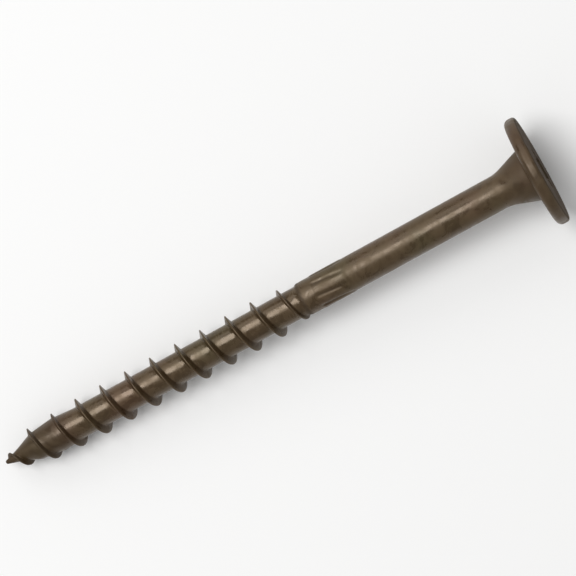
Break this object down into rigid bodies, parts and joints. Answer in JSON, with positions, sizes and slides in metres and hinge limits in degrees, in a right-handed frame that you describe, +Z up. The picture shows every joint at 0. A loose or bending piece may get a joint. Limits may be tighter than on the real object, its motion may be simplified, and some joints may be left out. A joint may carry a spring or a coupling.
{
  "type": "construction screw",
  "caption": "Structural timber screw with a wide flat washer head, conical neck, plain shank, knurled band and coarse single-start thread to a sharp point.",
  "frame": {"origin": "centre of the footprint on the floor, with the screw lying as it comes to rest on the rim of its head and one crest of its thread", "axes": "+Z up; the screw's axis lies in the XZ plane, its head towards +X and dipping towards its point at -X"},
  "size_m": [0.102, 0.019, 0.0191],
  "materials": {
    "coated_steel": "dark bronze-brown corrosion coating on rolled steel, satin"
  },
  "bodies": {
    "root": {"screw": "coated_steel"}
  },
  "joints": []
}
